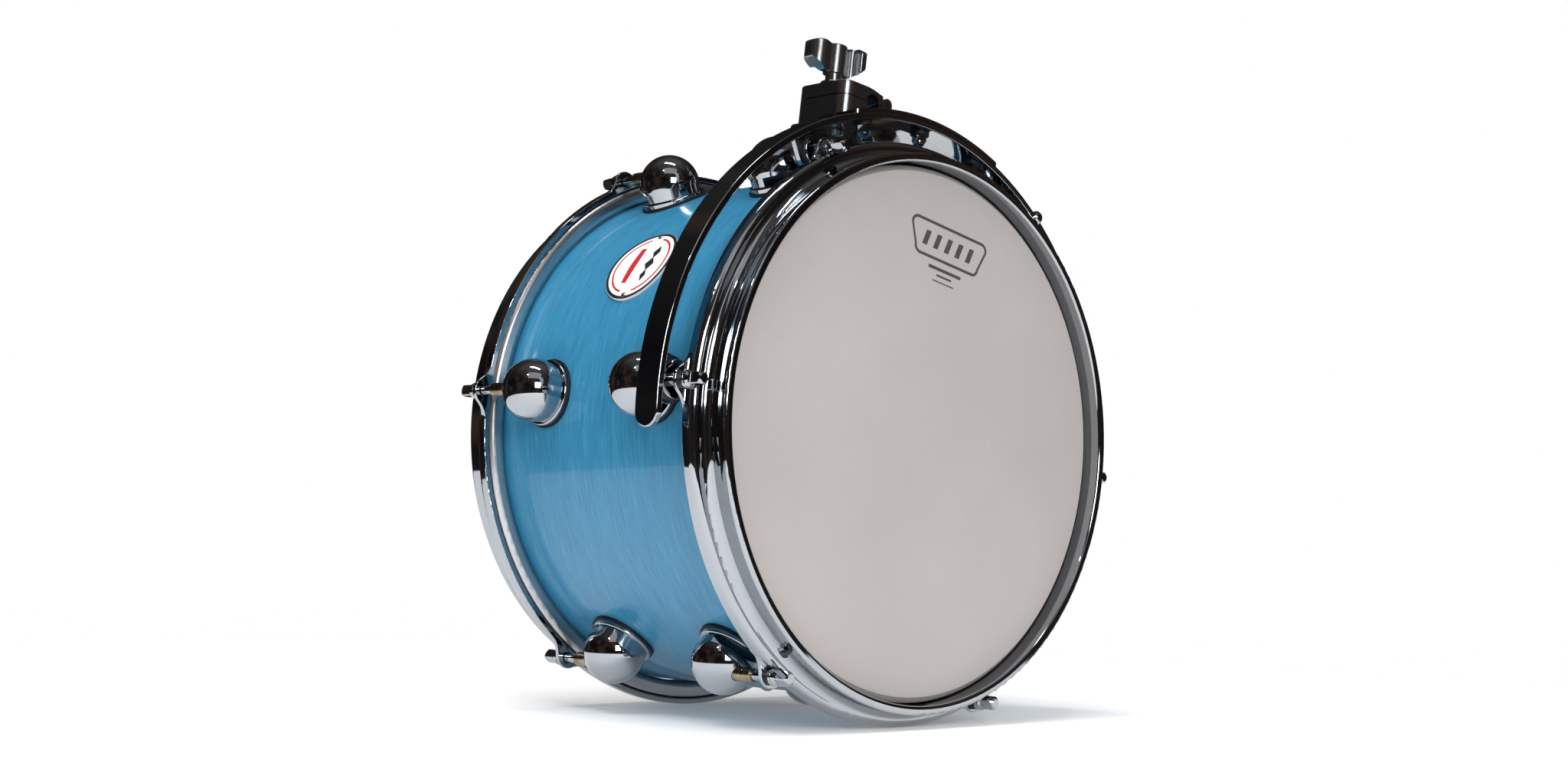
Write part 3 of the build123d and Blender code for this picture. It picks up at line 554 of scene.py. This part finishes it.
def make_badge_print():
    """A black border, a red ring that breaks at the pins, a red bar and a black row of diamonds."""
    pins = middle("badge_pins")
    clock = clock_of(pins.x, pins.z)

    def on_badge(u, v, lift):
        return around(clock + u * MM / BADGE_FACE_R, BADGE_FACE_R + lift, pins.y + v * MM)

    radius = BADGE_R / MM
    black = bmesh.new()
    inner, outer = arc_rails(radius - BORDER_WIDTH, radius - BORDER_GAP, 0, 2 * math.pi, 120)
    add_strip(black, inner[:-1], outer[:-1], on_badge, closed=True)
    for u, half_length, half_width in DIAMONDS:
        left = (u - half_length, DIAMOND_ROW)
        right = (u + half_length, DIAMOND_ROW)
        spine = [left, (u, DIAMOND_ROW), right]
        for sign in (-1, 1):
            edge = [left, (u, DIAMOND_ROW + sign * half_width), right]
            add_strip(black, spine, edge, on_badge)
    black_ink = print_ink("badge_black", (0.012, 0.012, 0.014))
    finish_print("badge_black_print", black, black_ink, "drum")
    red = bmesh.new()
    for start in (0, math.pi):
        rails = arc_rails(*RED_RING, start + RED_RING_GAP, start + math.pi - RED_RING_GAP, 48)
        add_strip(red, *rails, on_badge)
    add_strip(red, *bar_rails(*RED_BAR, steps=16, swell=0.35), on_badge)
    red_ink = print_ink("badge_red", (0.42, 0.012, 0.02))
    finish_print("badge_red_print", red, red_ink, "drum")


make_head_print()
make_badge_print()


# ---- studio ----
def make_floor():
    """A pale sheet that ends a little way out, so that polished metal shows its edge."""
    mesh = bpy.data.meshes.new("floor")
    shape = bmesh.new()
    bmesh.ops.create_circle(shape, cap_ends=True, segments=192, radius=FLOOR_REACH)
    shape.to_mesh(mesh)
    shape.free()
    floor = bpy.data.objects.new("floor", mesh)
    bpy.context.scene.collection.objects.link(floor)
    shader = Shader("pale_floor")
    soft = shader.noise(3.0, detail=2.0)
    tint = shader.ramp(soft, [(0.3, (0.86, 0.86, 0.86)), (0.7, (0.88, 0.88, 0.88))])
    shader.join(tint, shader.bsdf.inputs["Base Color"])
    shader.set(Roughness=0.9, Emission_Strength=FLOOR_GLOW, Emission_Color=(*WHITE, 1.0))
    mesh.materials.append(shader.material)


def make_world():
    """White to look at and soft white as fill, but a dark room with brown patches in reflections."""
    world = bpy.data.worlds.new("studio")
    bpy.context.scene.world = world
    world.use_nodes = True
    tree = world.node_tree
    for old in list(tree.nodes):
        tree.nodes.remove(old)

    def node(kind):
        return tree.nodes.new("ShaderNode" + kind)

    def background(colour, strength=1.0):
        made = node("Background")
        made.inputs["Color"].default_value = colour
        made.inputs["Strength"].default_value = strength
        return made

    path = node("LightPath")
    place = node("TexCoord")
    parts = node("SeparateXYZ")
    half = node("MapRange")
    half.inputs["From Min"].default_value = -1.0
    room = node("ValToRGB")
    set_ramp(room, ROOM_DARK)
    tree.links.new(place.outputs["Generated"], parts.inputs["Vector"])
    tree.links.new(parts.outputs["Z"], half.inputs["Value"])
    tree.links.new(half.outputs["Result"], room.inputs["Fac"])

    wall_noise = node("TexNoise")
    wall_noise.inputs["Scale"].default_value = 2.6
    wall_noise.inputs["Detail"].default_value = 2.0
    patches = node("ValToRGB")
    set_ramp(patches, ROOM_PATCHES)
    tree.links.new(place.outputs["Generated"], wall_noise.inputs["Vector"])
    tree.links.new(wall_noise.outputs["Fac"], patches.inputs["Fac"])

    both = node("Mix")
    both.data_type = "RGBA"
    both.blend_type = "ADD"
    both.inputs["Factor"].default_value = 1.0
    first, second = colour_sockets(both.inputs)
    tree.links.new(room.outputs["Color"], first)
    tree.links.new(patches.outputs["Color"], second)

    dark = background((*WHITE, 1.0))
    tree.links.new(colour_sockets(both.outputs)[0], dark.inputs["Color"])
    fill = background(FILL_COLOUR, FILL_STRENGTH)
    white = background((*WHITE, 1.0))
    unseen = node("MixShader")
    whole = node("MixShader")
    output = node("OutputWorld")
    tree.links.new(path.outputs["Is Glossy Ray"], unseen.inputs["Fac"])
    tree.links.new(fill.outputs["Background"], unseen.inputs[1])
    tree.links.new(dark.outputs["Background"], unseen.inputs[2])
    tree.links.new(path.outputs["Is Camera Ray"], whole.inputs["Fac"])
    tree.links.new(unseen.outputs["Shader"], whole.inputs[1])
    tree.links.new(white.outputs["Background"], whole.inputs[2])
    tree.links.new(whole.outputs["Shader"], output.inputs["Surface"])


def area_light(name, azimuth, elevation, distance, size, power, seen, colour):
    """A softbox that faces the drum's middle from the given direction."""
    light = bpy.data.lights.new(name, "AREA")
    light.shape = "RECTANGLE"
    light.size, light.size_y = size
    light.energy = power
    light.color = colour
    holder = bpy.data.objects.new(name, light)
    bpy.context.scene.collection.objects.link(holder)
    a, e = math.radians(azimuth), math.radians(elevation)
    back = Vector((math.sin(a) * math.cos(e), -math.cos(a) * math.cos(e), math.sin(e)))
    holder.location = Vector((0, 0, AXIS_HEIGHT)) + back * distance
    holder.rotation_mode = "QUATERNION"
    holder.rotation_quaternion = (-back).to_track_quat("-Z", "Y")
    holder.visible_glossy = seen
    holder.visible_camera = False


def make_camera():
    """Low beside the batter head, looking slightly up."""
    camera = bpy.data.cameras.new("camera")
    camera.lens = CAMERA_LENS
    camera.sensor_width = SENSOR_WIDTH
    holder = bpy.data.objects.new("camera", camera)
    bpy.context.scene.collection.objects.link(holder)
    forward = (CAMERA_AIM - CAMERA_PLACE).normalized()
    right = forward.cross(Vector((0, 0, 1))).normalized()
    up = right.cross(forward)
    across = right * math.cos(CAMERA_ROLL) + up * math.sin(CAMERA_ROLL)
    above = up * math.cos(CAMERA_ROLL) - right * math.sin(CAMERA_ROLL)
    turn = Matrix((across, above, -forward)).transposed()
    holder.matrix_world = Matrix.Translation(CAMERA_PLACE) @ turn.to_4x4()
    bpy.context.scene.camera = holder


make_floor()
make_world()
for light_name, settings in LIGHTS.items():
    area_light(light_name, *settings)
make_camera()
bpy.context.scene.view_settings.view_transform = "Standard"
